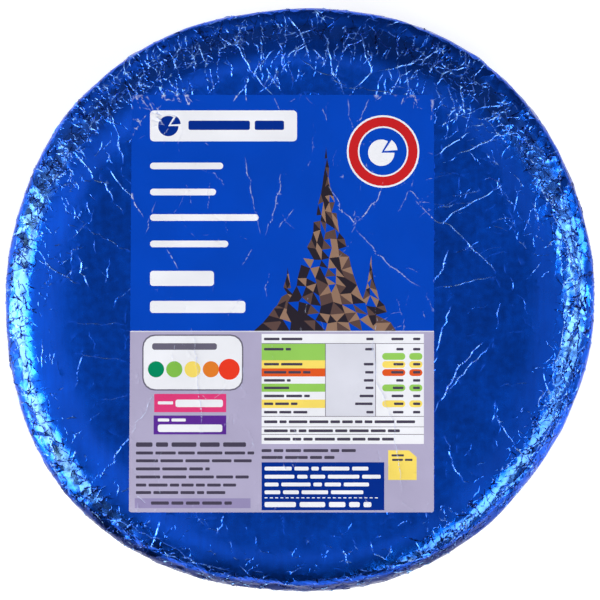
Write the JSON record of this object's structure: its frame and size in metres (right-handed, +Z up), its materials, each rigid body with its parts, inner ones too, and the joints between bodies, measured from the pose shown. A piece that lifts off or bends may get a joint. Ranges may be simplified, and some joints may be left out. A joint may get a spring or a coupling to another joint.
{
  "type": "foil-wrapped wheel of blue cheese",
  "caption": "Whole round wheel of blue cheese shut in crumpled blue foil, with a thin printed label on its flat top face.",
  "frame": {"origin": "middle of the underside, on the surface that the wheel stands on", "axes": "+Z up through the labelled top face, +Y towards the label's upper edge, +X to the right of a reader of the label"},
  "size_m": [0.1988, 0.1962, 0.0789],
  "materials": {
    "blue_foil": "bright crumpled foil with a blue lacquer",
    "printed_label": "smooth printed film, blue above and lavender below"
  },
  "bodies": {
    "root": {"foil_wrap": "blue_foil", "label": "printed_label"}
  },
  "joints": []
}
